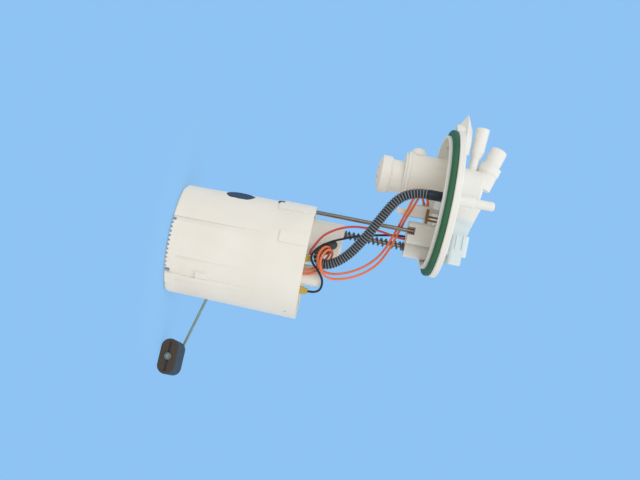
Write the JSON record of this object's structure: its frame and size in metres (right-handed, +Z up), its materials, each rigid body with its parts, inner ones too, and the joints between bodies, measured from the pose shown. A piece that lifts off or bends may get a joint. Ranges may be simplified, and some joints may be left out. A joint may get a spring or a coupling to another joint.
{
  "type": "fuel pump module",
  "caption": "In-tank fuel pump module: round flange with stubs and socket, two guide rods with a spring, corrugated hose, wires, and a reservoir with pump, filter and float level sender.",
  "frame": {"origin": "centre of the flange's seat plane, where the tank seal lies", "axes": "+Z up as installed, out of the tank; +X towards the side where the reservoir hangs; +Y towards the level sender"},
  "size_m": [0.2952, 0.135, 0.2778],
  "materials": {
    "natural_moulding": "satin acetal, slightly warm white",
    "flange_moulding": "satin acetal",
    "white_moulding": "smooth white nylon",
    "seal_rubber": "dark green nitrile",
    "black_rubber": "matte",
    "black_moulding": "satin",
    "hose_plastic": "dark slate polyamide",
    "orange_insulation": "satin",
    "red_insulation": "satin",
    "black_insulation": "satin",
    "yellow_moulding": "satin",
    "rod_steel": "ground bright steel",
    "spring_steel": "oiled spring wire",
    "brass_terminal": "dull",
    "plated_steel": "zinc plated",
    "float_foam": "closed-cell nitrile foam, dark brown",
    "ferrite": "sintered",
    "armature_iron": "resin-coated laminations and copper",
    "filter_paper": "pleated resin-treated paper",
    "strainer_mesh": "woven polyamide",
    "card": "printed resistor on ceramic",
    "brush_carbon": "pressed carbon"
  },
  "bodies": {
    "flange": {"flange_cover": "flange_moulding", "tank_seal": "seal_rubber", "vapour_elbow": "flange_moulding", "connector_pins": "brass_terminal", "vent_valve_housing": "natural_moulding", "vent_valve_body": "natural_moulding", "vent_valve_cap": "natural_moulding", "vent_valve_spring": "spring_steel", "guide_rod_front": "rod_steel", "guide_rod_rear": "rod_steel", "rod_clip": "spring_steel", "main_spring": "spring_steel", "sender_plug": "white_moulding", "plug_terminals": "brass_terminal", "outlet_hose": "hose_plastic", "sender_wire_a": "orange_insulation", "sender_wire_b": "orange_insulation", "pump_wire_black": "black_insulation", "pump_wire_red": "red_insulation"},
    "vent_float": {"vent_valve_float": "natural_moulding", "vent_valve_pad": "black_rubber"},
    "reservoir": {"reservoir_shell": "natural_moulding", "reservoir_base": "natural_moulding", "foot_valve": "black_rubber", "side_grommet": "black_rubber", "latch_clip": "black_moulding", "pump_carrier": "natural_moulding", "outlet_elbow": "black_moulding", "hose_clamp": "plated_steel", "regulator_can": "plated_steel", "regulator_cap": "natural_moulding", "regulator_spring": "spring_steel", "pump_casing": "plated_steel", "pump_inlet_cover": "plated_steel", "pump_bearing_plate": "plated_steel", "pump_magnets": "ferrite", "pump_end_cap": "black_moulding", "pump_brushes": "brush_carbon", "pump_isolator": "black_rubber", "check_valve_stop": "black_moulding", "check_valve_spring": "spring_steel", "filter_housing": "natural_moulding", "filter_element": "filter_paper", "inlet_strainer": "strainer_mesh", "jet_pump": "natural_moulding", "power_terminals": "yellow_moulding", "sender_socket": "white_moulding", "sender_body": "natural_moulding", "resistor_card": "card"},
    "regulator_plunger": {"regulator_valve": "plated_steel"},
    "check_poppet": {"check_valve": "black_rubber"},
    "pump_rotor": {"armature": "armature_iron", "pump_shaft": "rod_steel", "impeller": "black_moulding"},
    "sender_arm": {"arm_holder": "natural_moulding", "wiper_contact": "brass_terminal", "float_arm": "plated_steel", "float_clip": "plated_steel"},
    "sender_float": {"float_block": "float_foam"}
  },
  "joints": [
    {"name": "reservoir_slide", "type": "slide", "parent": "flange", "child": "reservoir", "axis": [0, 0, 1], "range_m": [0, 0.035], "stiffness_N_per_m": 300, "springref_m": -0.03, "deforming": ["main_spring", "outlet_hose", "sender_wire_a", "sender_wire_b", "pump_wire_black", "pump_wire_red"]},
    {"name": "vent_float_slide", "type": "slide", "parent": "flange", "child": "vent_float", "axis": [0, 0, 1], "range_m": [0, 0.0029], "stiffness_N_per_m": 40, "deforming": ["vent_valve_spring"]},
    {"name": "regulator_slide", "type": "slide", "parent": "reservoir", "child": "regulator_plunger", "axis": [0, 0, 1], "range_m": [0, 0.0015], "stiffness_N_per_m": 2000, "springref_m": -0.004, "deforming": ["regulator_spring"]},
    {"name": "check_valve_slide", "type": "slide", "parent": "reservoir", "child": "check_poppet", "axis": [0, 0, 1], "range_m": [0, 0.0015], "stiffness_N_per_m": 60, "springref_m": -0.001, "deforming": ["check_valve_spring"]},
    {"name": "pump_spin", "type": "hinge", "parent": "reservoir", "child": "pump_rotor", "pos_m": [0.0848, -0.003, -0.17], "axis": [0, 0, 1], "continuous": true},
    {"name": "float_arm_pivot", "type": "hinge", "parent": "reservoir", "child": "sender_arm", "pos_m": [0.0691, 0.058, -0.1845], "axis": [0, -1, 0], "range_deg": [0, 60]},
    {"name": "float_spin", "type": "hinge", "parent": "sender_arm", "child": "sender_float", "pos_m": [0.19047, 0.02906, -0.2192], "axis": [0.2034, 0.9791, 0], "continuous": true}
  ]
}
